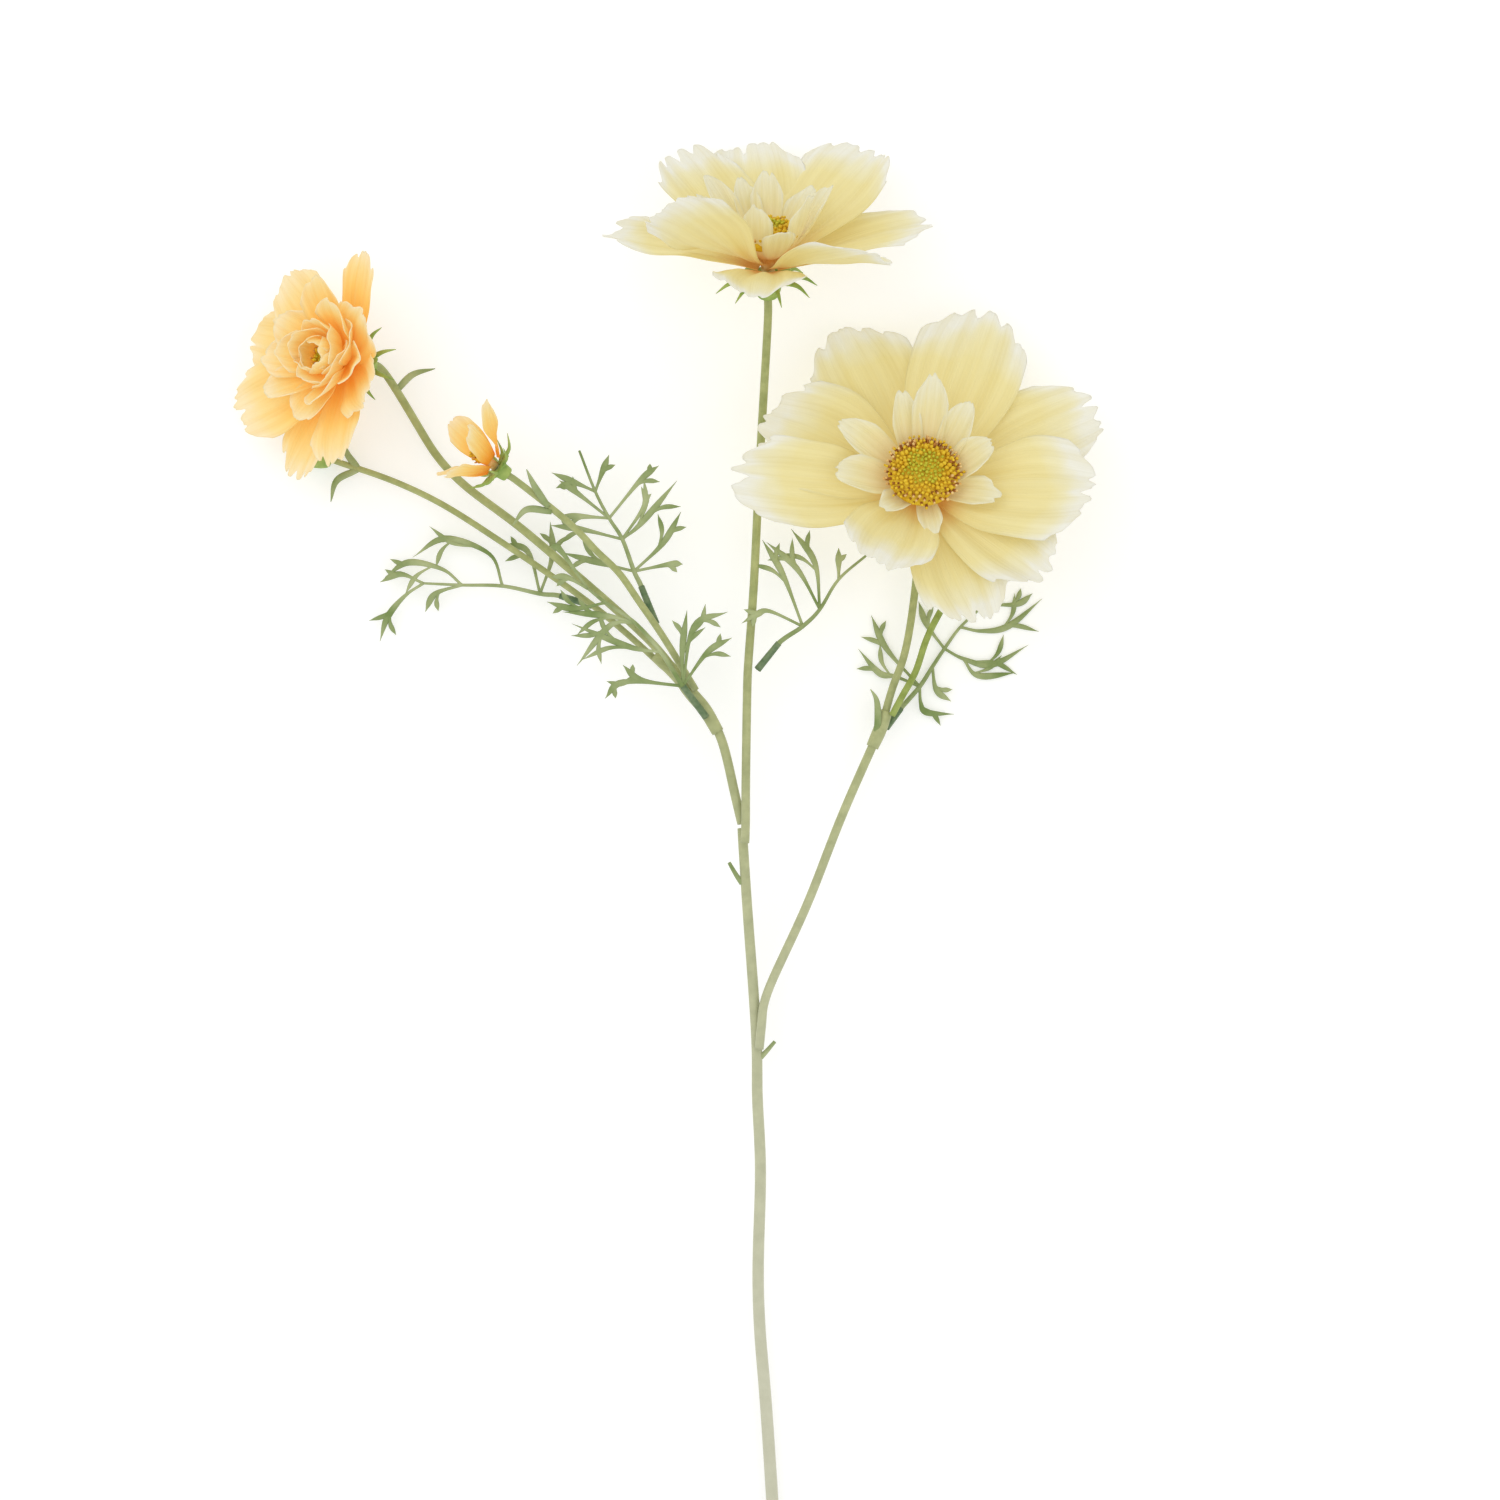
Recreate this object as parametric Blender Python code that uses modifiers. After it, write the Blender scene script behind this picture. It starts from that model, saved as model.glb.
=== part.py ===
# A cut cosmos spray lying on a table. Lengths in the tables below are millimetres, angles are degrees.
# +Y runs along the stem from the cut end to the blooms, and +Z is up, away from the table.

import math

import bmesh
import bpy
from mathutils import Matrix, Vector

MM = 0.001
GAP = 0.3  # clearance between pieces that touch

PETAL_THICKNESS = 0.7
RING_THICKNESS = 0.6
CALYX_THICKNESS = 0.7
NECK_RADIUS = 2.0  # the core that the petals are threaded on
PETAL_START = 2.6  # radius where a petal's claw begins
LAYER_STEP = 1.05  # height from one petal layer to the next
STEM_RESOLUTION = 1
LEAF_STEM_RADIUS = 0.75
LEAFLET_HALF_HEIGHT = 0.45

FABRIC = (0.88, 0.76, 0.42)
GOLDEN = (0.82, 0.58, 0.25)
STEM_GREEN = (0.50, 0.56, 0.32)
LEAF_GREEN = (0.42, 0.50, 0.24)
CALYX_GREEN = (0.36, 0.46, 0.12)
CENTRE_YELLOW = (0.78, 0.58, 0.06)

# Each petal: azimuth about the head's axis, length, half width, opening angles from the axis at the
# claw, the middle and the tip, and the layer it is threaded in.
RIGHT_BLOOM = {
    "name": "right_bloom",
    "origin": (48.2, 281.6, 24.0),
    "axis": (0.0, 0.454, 0.891),
    "stalk_radius": 1.05,
    "centre": {"radius": 10.5, "rim": 11.4, "dome": 4.6},
    "petals": (
        (152, 48, 15.0, (68, 79, 92), 1),
        (115, 52, 15.5, (70, 83, 94), 0),
        (70, 54, 16.2, (68, 79, 90), 1),
        (25, 53, 14.5, (70, 83, 92), 0),
        (-12, 47, 14.0, (66, 71, 80), 2),
        (-38, 45, 11.0, (68, 78, 86), 1),
        (-70, 44, 13.5, (70, 84, 92), 0),
        (-115, 38, 12.0, (76, 57, 70), 3),
        (-169, 52, 13.5, (68, 75, 84), 2),
    ),
    "rings": (
        {"name": "inner_ring", "lobes": 9, "length": 22, "angles": (73, 51, 60), "base": 5.4, "notch": 0.55},
    ),
    "bracts": 8,
}

TOP_BLOOM = {
    "name": "top_bloom",
    "origin": (5.0, 343.8, 33.7),
    "axis": (0.0, 0.906, 0.423),
    "stalk_radius": 1.15,
    "centre": {"radius": 8.5, "rim": 9.6, "dome": 4.2},
    "petals": (
        (170, 45, 12.0, (68, 82, 88), 0),
        (127, 45, 14.0, (66, 62, 66), 2),
        (97, 45, 14.5, (68, 68, 74), 0),
        (50, 48, 15.5, (66, 64, 68), 2),
        (8, 45, 14.0, (70, 76, 80), 0),
        (-46, 44, 14.0, (68, 70, 76), 1),
        (-95, 38, 13.0, (70, 77, 90), 0),
        (-143, 45, 13.5, (66, 50, 62), 2),
    ),
    "rings": (
        {"name": "inner_ring", "lobes": 9, "length": 21, "angles": (72, 42, 46), "base": 3.8, "notch": 0.55},
    ),
    "bracts": 8,
}

LEFT_BLOOM = {
    "name": "left_bloom",
    "origin": (-111.4, 318.6, 19.3),
    "axis": (-0.68, 0.12, 0.72),
    "stalk_radius": 1.15,
    "centre": {"radius": 4.2, "rim": 9.4, "dome": 3.0},
    "petals": (
        (20, 24, 9.0, (66, 54, 60), 3),
        (75, 28, 7.5, (70, 82, 90), 0),
        (123, 29, 10.5, (68, 66, 84), 1),
        (162, 33, 10.0, (70, 78, 84), 0),
        (203, 34, 12.0, (68, 68, 74), 2),
        (243, 34, 8.5, (70, 78, 84), 0),
        (278, 31, 9.0, (68, 70, 78), 1),
        (322, 24, 9.5, (70, 62, 66), 2),
    ),
    "rings": (
        {"name": "middle_ring", "lobes": 9, "length": 23, "angles": (66, 52, 60), "base": 4.4, "notch": 0.6},
        {"name": "inner_ring", "lobes": 8, "length": 14, "angles": (58, 36, 46), "base": 6.0, "notch": 0.55},
    ),
    "bracts": 8,
}

SMALL_FLOWER = {
    "name": "small_flower",
    "origin": (-71.4, 289.4, 26.5),
    "axis": (-0.80, 0.55, 0.25),
    "stalk_radius": 0.95,
    "centre": {"radius": 2.2, "rim": 4.2, "dome": 3.4},
    "petals": (
        (20, 15, 3.4, (48, 40, 46), 0),
        (92, 15, 3.6, (44, 30, 34), 1),
        (164, 13, 3.4, (50, 44, 50), 0),
        (236, 13, 3.4, (48, 40, 48), 1),
        (308, 14, 3.4, (44, 34, 40), 2),
    ),
    "rings": (),
    "bracts": 6,
}

BUDS = (
    {
        "name": "left_bud",
        "origin": (-122.0, 293.4, 6.6),
        "axis": (-0.93, 0.35, 0.06),
        "stalk_radius": 0.85,
        "length": 9.0,
        "radius": 3.3,
    },
    {
        "name": "right_bud",
        "origin": (60.4, 260.4, 9.0),
        "axis": (0.52, 0.84, 0.12),
        "stalk_radius": 0.95,
        "length": 9.0,
        "radius": 3.3,
    },
)

# Stems: route points (x, y, z), with the radius at the first and last point.
STEMS = {
    "main_stem": (
        (2.0, 1.45),
        (
            (9.6, -68.0, 2.05),
            (8.4, -40.0, 2.7),
            (6.2, 0.0, 3.8),
            (4.2, 29.7, 4.8),
            (2.8, 45.6, 5.4),
            (2.2, 65.0, 6.2),
            (3.1, 91.6, 7.4),
            (2.0, 112.0, 8.3),
            (2.0, 126.0, 9.0),
            (0.7, 146.2, 10.2),
            (-0.8, 166.0, 11.8),
            (-2.2, 187.9, 14.0),
        ),
    ),
    "left_branch": (
        (1.4, 1.35),
        (
            (-2.3, 189.4, 14.2),
            (-4.6, 199.1, 15.0),
            (-7.6, 212.2, 16.0),
            (-11.6, 219.9, 16.6),
            (-16.8, 226.2, 16.8),
            (-21.6, 233.0, 16.6),
        ),
    ),
    "top_branch": (
        (1.3, 1.15),
        (
            (-1.4, 184.0, 16.8),
            (-1.2, 191.0, 16.9),
            (-1.2, 199.1, 16.4),
            (-0.8, 226.8, 14.8),
            (-0.4, 235.8, 14.3),
            (1.1, 256.2, 13.6),
            (2.2, 280.0, 13.4),
            (3.4, 302.4, 15.0),
        ),
    ),
    "right_branch": (
        (1.35, 1.3),
        (
            (2.6, 126.0, 12.2),
            (3.4, 134.0, 12.0),
            (4.9, 142.5, 11.3),
            (16.0, 166.0, 9.8),
            (25.2, 190.1, 8.4),
            (36.4, 215.3, 7.2),
        ),
    ),
    "right_bloom_stalk": (
        (1.15, 1.05),
        (
            (36.7, 216.2, 7.2),
            (37.7, 219.0, 7.2),
            (40.3, 228.2, 7.0),
            (42.8, 234.4, 6.8),
            (44.8, 242.8, 6.4),
            (46.5, 255.1, 6.6),
            (47.4, 265.0, 8.2),
        ),
    ),
    "right_bud_stalk": (
        (0.95, 0.95),
        (
            (40.0, 219.8, 8.9),
            (43.4, 226.2, 9.2),
            (47.0, 232.7, 9.0),
            (49.8, 241.9, 8.6),
        ),
    ),
    "left_bloom_stalk": (
        (1.25, 1.15),
        (
            (-22.2, 233.7, 16.6),
            (-28.0, 240.6, 15.8),
            (-40.0, 251.6, 14.2),
            (-53.8, 263.5, 12.5),
            (-66.4, 274.1, 10.4),
            (-79.8, 283.9, 8.2),
            (-87.9, 292.3, 6.6),
            (-93.4, 301.0, 5.6),
        ),
    ),
    "small_flower_stalk": (
        (1.0, 0.95),
        (
            (-15.2, 226.8, 19.4),
            (-19.6, 234.1, 20.2),
            (-25.5, 243.6, 21.0),
            (-31.4, 252.0, 21.8),
            (-36.7, 259.8, 22.6),
            (-43.1, 265.7, 23.4),
            (-49.8, 273.0, 24.0),
        ),
    ),
    "left_bud_stalk": (
        (0.9, 0.85),
        (
            (-24.4, 233.3, 14.5),
            (-30.0, 238.6, 13.6),
            (-42.5, 249.4, 11.6),
            (-57.4, 260.1, 10.0),
            (-70.8, 269.1, 8.6),
            (-86.8, 279.4, 7.4),
            (-101.9, 286.4, 6.4),
        ),
    ),
}

# Where each stalk meets a head, it runs along the head's axis over this length.
NECK_RUN = {"right_bloom": 14.0, "top_bloom": 16.0, "left_bloom": 12.0, "small_flower": 9.0, "left_bud": 8.0,
            "right_bud": 8.0}
HEAD_STALKS = {
    "right_bloom": "right_bloom_stalk",
    "top_bloom": "top_branch",
    "left_bloom": "left_bloom_stalk",
    "small_flower": "small_flower_stalk",
    "left_bud": "left_bud_stalk",
    "right_bud": "right_bud_stalk",
}

# Leaves: height near the root, at the tip and how fast it changes, the midrib, then the leaflets.
# Each leaflet starts on the midrib or on an earlier leaflet. A point with no height of its own gets the leaf's.
LEAVES = {
    "left_leaf": {
        "heights": (9.2, 4.2, 2.0),
        "midrib": ((-44.4, 250.7), (-53.5, 253.4), (-59.1, 254.0), (-69.7, 256.2), (-81.2, 256.5), (-92.1, 257.0)),
        "leaflets": (
            ((-92.1, 257.0), (-98.6, 259.6), (-104.4, 257.3)),
            ((-81.2, 256.5), (-86.8, 261.0), (-96.3, 262.9), (-103.0, 258.7)),
            ((-92.1, 257.0), (-97.4, 253.4), (-102.2, 247.5), (-104.4, 240.5)),
            ((-81.2, 256.5), (-88.8, 254.0), (-91.6, 248.9)),
            ((-69.7, 256.2), (-73.4, 265.2), (-86.0, 269.6), (-95.2, 264.3)),
            ((-59.1, 254.0), (-62.7, 266.0), (-70.3, 268.0)),
            ((-59.1, 254.0), (-55.7, 264.6), (-56.3, 274.4)),
        ),
    },
    "front_leaf": {
        "heights": (20.0, 24.4, 10.0),
        "midrib": ((-12.3, 219.2, 19.1), (-18.8, 227.9), (-24.9, 237.4), (-32.2, 245.6), (-40.3, 251.2), (-45.4, 255.1)),
        "leaflets": (
            ((-18.8, 227.9), (-18.9, 238.0), (-17.6, 249.2)),
            ((-18.8, 227.9), (-15.7, 244.4), (-6.2, 248.6)),
            ((-18.8, 227.9), (-11.8, 237.4), (-5.0, 241.4)),
            ((-18.8, 227.9), (-30.5, 229.6), (-35.6, 233.8)),
            ((-18.8, 227.9), (-35.3, 229.0), (-40.6, 224.3)),
            ((-24.9, 237.4), (-33.6, 238.8), (-49.8, 245.3)),
            ((-32.2, 245.6), (-39.2, 244.7), (-48.4, 233.5)),
            ((-32.2, 245.6), (-40.0, 247.5), (-52.4, 248.6)),
            ((-40.3, 251.2), (-49.0, 249.5), (-56.8, 251.4)),
            ((-45.4, 255.1), (-51.0, 258.2), (-55.7, 258.4)),
            ((-45.4, 255.1), (-52.9, 265.7), (-56.0, 266.8)),
        ),
    },
    "upper_leaf": {
        "heights": (17.6, 16.4, 1.0),
        "midrib": ((-26.3, 245.3, 18.9), (-30.5, 255.9), (-32.5, 260.1), (-35.8, 269.1), (-39.5, 275.0), (-43.4, 282.5),
                   (-47.9, 294.0)),
        "leaflets": (
            ((-43.4, 282.5), (-41.4, 288.0), (-39.5, 292.9)),
            ((-43.4, 282.5), (-49.0, 285.0), (-55.7, 287.8)),
            ((-39.5, 275.0), (-49.0, 282.5), (-53.5, 285.6)),
            ((-39.5, 275.0), (-47.3, 275.5), (-54.3, 275.5)),
            ((-39.5, 275.0), (-30.5, 285.9), (-25.5, 289.8)),
            ((-35.8, 269.1), (-30.5, 273.6), (-20.4, 285.6)),
            ((-35.8, 269.1), (-29.4, 279.0), (-30.5, 283.9)),
            ((-32.5, 260.1), (-24.4, 268.0), (-19.3, 276.9)),
            ((-32.5, 260.1), (-22.4, 262.1), (-18.8, 262.1)),
            ((-35.8, 269.1), (-47.3, 271.9), (-56.0, 273.0)),
            ((-32.5, 260.1), (-42.0, 262.4), (-52.9, 265.4)),
        ),
    },
    "top_branch_leaf": {
        "heights": (17.4, 12.0, 0.6),
        "midrib": ((2.1, 232.6, 14.5), (8.1, 240.0), (14.8, 244.7), (19.6, 249.5), (24.9, 257.9), (33.3, 265.2)),
        "leaflets": (
            ((14.8, 244.7), (5.6, 248.9), (2.0, 248.1), (-2.4, 245.5)),
            ((14.8, 244.7), (9.2, 259.3), (3.4, 269.1)),
            ((19.6, 249.5), (13.2, 260.9), (4.6, 268.4)),
            ((19.6, 249.5), (18.2, 262.6), (11.5, 272.2)),
            ((24.9, 257.9), (24.9, 266.8)),
        ),
    },
    "right_leaf": {
        "heights": (4.0, 0.75, 3.0),
        "midrib": ((38.3, 216.2, 5.3), (42.6, 221.8), (47.9, 227.9), (51.5, 233.5), (54.9, 238.6), (59.4, 244.7),
                   (66.4, 251.2)),
        "leaflets": (
            ((47.9, 227.9), (48.2, 223.2), (50.0, 220.6), (57.7, 220.1)),
            ((51.5, 233.5), (52.6, 227.0), (56.8, 223.7)),
            ((54.9, 238.6), (60.2, 235.8), (68.3, 234.1), (78.7, 239.7)),
            ((60.2, 235.8), (64.4, 231.0), (75.0, 231.8)),
            ((59.4, 244.7), (65.4, 243.6), (73.0, 245.0), (82.6, 252.8)),
            ((66.4, 251.2), (75.3, 251.2), (79.8, 254.2)),
            ((47.9, 227.9), (41.2, 230.7), (36.4, 231.8), (30.5, 238.6)),
            ((47.9, 227.9), (38.4, 238.8), (34.2, 248.1)),
            ((54.9, 238.6), (49.8, 245.6), (47.6, 252.0)),
        ),
    },
}


def material(name, colour, roughness):
    finish = bpy.data.materials.new(name)
    finish.use_nodes = True
    shader = finish.node_tree.nodes["Principled BSDF"]
    shader.inputs["Base Color"].default_value = (*colour, 1.0)
    shader.inputs["Roughness"].default_value = roughness
    shader.inputs["Metallic"].default_value = 0.0
    return finish


def add_object(name, data, finish):
    obj = bpy.data.objects.new(name, data)
    obj.data.materials.append(finish)
    bpy.data.collections["cosmos_spray"].objects.link(obj)
    return obj


def smooth_route(points, per_span):
    """Points along a Catmull-Rom curve through the given points."""
    knots = [Vector(p) for p in points]
    knots = [2 * knots[0] - knots[1], *knots, 2 * knots[-1] - knots[-2]]
    route = []
    for a, b, c, d in zip(knots, knots[1:], knots[2:], knots[3:]):
        for step in range(per_span):
            t = step / per_span
            route.append(
                0.5 * (2 * b + (c - a) * t + (2 * a - 5 * b + 4 * c - d) * t**2 + (3 * b - a - 3 * c + d) * t**3)
            )
    route.append(knots[-2])
    return route


def head_matrix(head):
    """From the head's own frame, with its axis along z and azimuth 0 towards +X, to the spray's frame."""
    axis = Vector(head["axis"]).normalized()
    across = (Vector((1, 0, 0)) - axis * axis.x).normalized()
    turn = Matrix((across, axis.cross(across), axis)).transposed()
    return Matrix.Translation(Vector(head["origin"])) @ turn.to_4x4()


def opening_angle(s, angles):
    """The angle from the axis at s, along a parabola through the three given angles."""
    at_claw, at_middle, at_tip = angles
    return math.radians(
        at_claw * 2 * (s - 0.5) * (s - 1) - at_middle * 4 * s * (s - 1) + at_tip * 2 * s * (s - 0.5)
    )


def midrib(length, angles, start, base, steps=40):
    """(radius, height, angle) from the claw to the tip, in equal steps."""
    points = [(start, base, opening_angle(0, angles))]
    for k in range(1, steps + 1):
        angle = opening_angle((k - 0.5) / steps, angles)
        radius, height, _ = points[-1]
        points.append(
            (
                radius + length / steps * math.sin(angle),
                height + length / steps * math.cos(angle),
                opening_angle(k / steps, angles),
            )
        )
    return points


def at(points, s):
    place = min(max(s, 0), 1) * (len(points) - 1)
    k = min(int(place), len(points) - 2)
    return [a + (b - a) * (place - k) for a, b in zip(points[k], points[k + 1])]


def width_share(s, claw):
    """The half width at s as a share of the widest: a narrow claw, widest at two thirds, a blunt tip."""
    widest = 0.66
    if s < widest:
        return claw + (1 - claw) * math.sin(0.5 * math.pi * s / widest) ** 1.2
    return 1 - 0.22 * ((s - widest) / (1 - widest)) ** 2


def sheet(name, across, along, place, thickness, finish, seam=False):
    """A sheet whose points place(w, s) gives, w from -1 to 1 and s from 0 to 1, thickened to a solid."""
    mesh_data = bmesh.new()
    bmesh.ops.create_grid(mesh_data, x_segments=across, y_segments=along, size=1)
    for vert in mesh_data.verts:
        vert.co = Vector(place(vert.co.x, (vert.co.y + 1) / 2)) * MM
    if seam:
        bmesh.ops.remove_doubles(mesh_data, verts=mesh_data.verts, dist=1e-6)
    mesh = bpy.data.meshes.new(name)
    mesh_data.to_mesh(mesh)
    mesh_data.free()
    mesh.shade_smooth()
    obj = add_object(name, mesh, finish)
    wall = obj.modifiers.new("wall", "SOLIDIFY")
    wall.thickness = thickness * MM
    wall.offset = 0
    return obj


def petal(name, head, spec, finish):
    azimuth, length, half_width, angles, layer = spec
    frame = head_matrix(head) @ Matrix.Rotation(math.radians(azimuth), 4, "Z")
    rib = midrib(length, angles, PETAL_START, layer * LAYER_STEP)
    claw = 1.35 / half_width
    cup = 0.16

    def place(w, s):
        s = s * (1 - 0.22 * abs(w) ** 3)
        radius, height, angle = at(rib, s)
        half = half_width * width_share(s, claw)
        lift = cup * half * w * w
        return frame @ Vector(
            (radius - lift * math.cos(angle), half * w, height + lift * math.sin(angle))
        )

    return sheet(name, 4, 6, place, PETAL_THICKNESS, finish)


def petal_ring(name, head, ring, finish):
    """Small petals stamped from one piece: a ring whose edge is cut into lobes."""
    frame = head_matrix(head)
    rib = midrib(ring["length"], ring["angles"], PETAL_START, ring["base"])
    lobes = ring["lobes"]

    def place(w, s):
        turn = math.pi * (w + 1)
        lobe = abs(math.cos(lobes * turn / 2))
        radius, height, _ = at(rib, s * (1 - ring["notch"] * (1 - lobe)))
        return frame @ Vector((radius * math.cos(turn), radius * math.sin(turn), height))

    return sheet(name, lobes * 4, 3, place, RING_THICKNESS, finish, seam=True)


def calyx(name, head, bracts, size, finish):
    """A cup round the stalk's end with green bracts spreading from its rim, seen from the axis outwards."""
    frame = head_matrix(head)
    hole = head["stalk_radius"] + GAP + CALYX_THICKNESS / 2
    outline = (
        (hole, -8.6 * size),
        (2.6 * size + 0.4, -7.6 * size),
        (3.6 * size, -4.6 * size),
        (4.4 * size, -2.2 * size),
        (7.0 * size, -1.7 * size),
        (11.0 * size, -2.6 * size),
    )
    rim = 3

    def place(w, s):
        turn = math.pi * (w + 1)
        step = s * (len(outline) - 1)
        k = min(int(step), len(outline) - 2)
        if k >= rim and round(bracts * turn / math.pi) % 2:
            step = rim + (step - rim) * 0.2
            k = rim
        radius, height = (
            a + (b - a) * (step - k) for a, b in zip(outline[k], outline[k + 1])
        )
        return frame @ Vector((radius * math.cos(turn), radius * math.sin(turn), height))

    return sheet(name, bracts * 2, 5, place, CALYX_THICKNESS, finish, seam=True)


def turned(name, head, outline, finish, steps=16):
    """A solid turned about the head's axis. The outline runs from the top down, as (radius, height)."""
    mesh = bpy.data.meshes.new(name)
    points = [(r * MM, 0, z * MM) for r, z in outline]
    mesh.from_pydata(points, [(k, k + 1) for k in range(len(points) - 1)], [])
    obj = add_object(name, mesh, finish)
    obj.matrix_world = Matrix.Diagonal((MM, MM, MM, 1)) @ head_matrix(head) @ Matrix.Diagonal((1 / MM,) * 3 + (1,))
    screw = obj.modifiers.new("turn", "SCREW")
    screw.steps = screw.render_steps = steps
    screw.use_merge_vertices = True
    screw.merge_threshold = 1e-5
    screw.use_smooth_shade = True
    return obj


def flower_centre(head, finish):
    """The core inside the petals with the domed disc on it."""
    sizes = head["centre"]
    radius, rim, dome = sizes["radius"], sizes["rim"], sizes["dome"]
    steps = 4
    outline = []
    for k in range(steps + 1):
        turn = 0.5 * math.pi * k / steps
        outline.append((radius * math.sin(turn), rim + dome * math.cos(turn)))
    neck = min(NECK_RADIUS, 0.6 * radius)
    outline += [(0.96 * radius, rim - 0.5), (neck, rim - 0.42 * (radius - neck) - 0.9), (neck, -0.6), (0, -0.6)]
    return turned(head["name"] + "_centre", head, outline, finish)


def bud(spec, petals_finish, calyx_finish):
    """A closed bud: folded petals in an egg shape, in its calyx cup."""
    steps = 6
    outline = []
    for k in range(steps + 1):
        turn = math.pi * k / steps
        radius = spec["radius"] * math.sin(turn) * (1 + 0.18 * math.cos(turn + 2.2))
        outline.append((max(radius, 0), 0.5 * spec["length"] * (1 + math.cos(turn)) - 0.6))
    turned(spec["name"] + "_petals", spec, outline, petals_finish, steps=12)
    frame = head_matrix(spec)
    hole = spec["stalk_radius"] + GAP + CALYX_THICKNESS / 2
    cup = (
        (hole, -4.6),
        (hole + 1.2, -3.8),
        (spec["radius"] + 0.45, -1.0),
        (spec["radius"] + 0.95, 2.4),
        (spec["radius"] + 0.75, 5.4),
    )

    def place(w, s):
        turn = math.pi * (w + 1)
        step = s * (len(cup) - 1)
        k = min(int(step), len(cup) - 2)
        if k == len(cup) - 2 and round(6 * turn / math.pi) % 2:
            step = k
        radius, height = (a + (b - a) * (step - k) for a, b in zip(cup[k], cup[k + 1]))
        return frame @ Vector((radius * math.cos(turn), radius * math.sin(turn), height))

    sheet(spec["name"] + "_calyx", 12, 4, place, CALYX_THICKNESS, calyx_finish, seam=True)


def stem(name, radii, points, finish):
    """A tapering wire stem along a smooth route."""
    route = smooth_route(points, 2)
    curve = bpy.data.curves.new(name, "CURVE")
    curve.dimensions = "3D"
    curve.bevel_depth = MM
    curve.bevel_resolution = STEM_RESOLUTION
    curve.use_fill_caps = True
    spline = curve.splines.new("POLY")
    spline.points.add(len(route) - 1)
    for k, (point, spot) in enumerate(zip(spline.points, route)):
        point.co = (*(spot * MM), 1)
        share = k / (len(route) - 1)
        point.radius = radii[0] + (radii[1] - radii[0]) * share
    return add_object(name, curve, finish)


def stem_points(name, points, heads):
    """The stem's route, led onto the axis of the head that it carries."""
    for head_name, stalk in HEAD_STALKS.items():
        if stalk == name:
            frame = head_matrix(heads[head_name])
            run = NECK_RUN[head_name]
            points = (*points, *(tuple(frame @ Vector((0, 0, z))) for z in (-run, -0.6 * run, -0.3 * run, -1.0)))
    return points


def midrib_half_width(s):
    return LEAF_STEM_RADIUS * (1.3 - 0.6 * s)


def leaflet_half_width(s):
    return 0.45 + 0.6 * math.sin(math.pi * s**0.8)


def blade(name, points, per_span, sides, half_width, half_height):
    """A closed, flattened blade along the points, as wide at each place as half_width gives."""
    route = smooth_route(points, per_span)
    last = len(route) - 1
    mesh_data = bmesh.new()
    bmesh.ops.create_grid(mesh_data, x_segments=sides, y_segments=last, size=1)
    for vert in mesh_data.verts:
        k = round((vert.co.y + 1) / 2 * last)
        turn = math.pi * (vert.co.x + 1)
        along = (route[min(k + 1, last)] - route[max(k - 1, 0)]).normalized()
        side = along.cross(Vector((0, 0, 1))).normalized()
        share = half_width(k / last)
        vert.co = (
            route[k]
            + side * (share * math.cos(turn))
            + side.cross(along) * (min(share, half_height) * math.sin(turn))
        ) * MM
    bmesh.ops.remove_doubles(mesh_data, verts=mesh_data.verts, dist=1e-6)
    bmesh.ops.holes_fill(mesh_data, edges=mesh_data.edges, sides=0)
    bmesh.ops.recalc_face_normals(mesh_data, faces=mesh_data.faces)
    mesh = bpy.data.meshes.new(name)
    mesh_data.to_mesh(mesh)
    mesh_data.free()
    return mesh


def leaf(name, spec, finish):
    """A fern-like leaf: leaflets joined to their midrib by a union."""
    at_root, at_tip, rate = spec["heights"]
    root = Vector(spec["midrib"][0][:2])
    reach = max((Vector(p) - root).length for chain in spec["leaflets"] for p in chain)

    def raised(chain):
        points = []
        for point in chain:
            share = min((Vector(point[:2]) - root).length / reach, 1)
            height = at_tip + (at_root - at_tip) * (1 - share) ** rate
            points.append((*point, height)[:3])
        return points

    midrib_mesh = blade(name, raised(spec["midrib"]), 2, 6, midrib_half_width, LEAF_STEM_RADIUS)
    obj = add_object(name, midrib_mesh, finish)
    leaflets = bpy.data.collections.new(name + "_leaflets")
    leaflets.hide_render = True
    bpy.data.collections["leaflets"].children.link(leaflets)
    for number, chain in enumerate(spec["leaflets"], 1):
        mesh = blade(f"{name}_leaflet_{number}", raised(chain), 1, 4, leaflet_half_width, LEAFLET_HALF_HEIGHT)
        leaflet = bpy.data.objects.new(mesh.name, mesh)
        leaflet.hide_render = True
        leaflet.display_type = "WIRE"
        leaflets.objects.link(leaflet)
    union = obj.modifiers.new("leaflets", "BOOLEAN")
    union.operation = "UNION"
    union.operand_type = "COLLECTION"
    union.collection = leaflets
    return obj


def centre_over_origin(objects):
    """Moves the whole spray so that its box stands on z = 0 with its middle over the origin."""
    bpy.context.view_layer.update()
    graph = bpy.context.evaluated_depsgraph_get()
    corners = []
    for obj in objects:
        solid = obj.evaluated_get(graph)
        mesh = solid.to_mesh()
        corners += [solid.matrix_world @ vert.co for vert in mesh.vertices]
        solid.to_mesh_clear()
    low = Vector([min(c[k] for c in corners) for k in range(3)])
    high = Vector([max(c[k] for c in corners) for k in range(3)])
    move = Matrix.Translation(-Vector(((low.x + high.x) / 2, (low.y + high.y) / 2, low.z)))
    for obj in [*objects, *bpy.data.collections["leaflets"].all_objects]:
        obj.matrix_world = move @ obj.matrix_world


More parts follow.
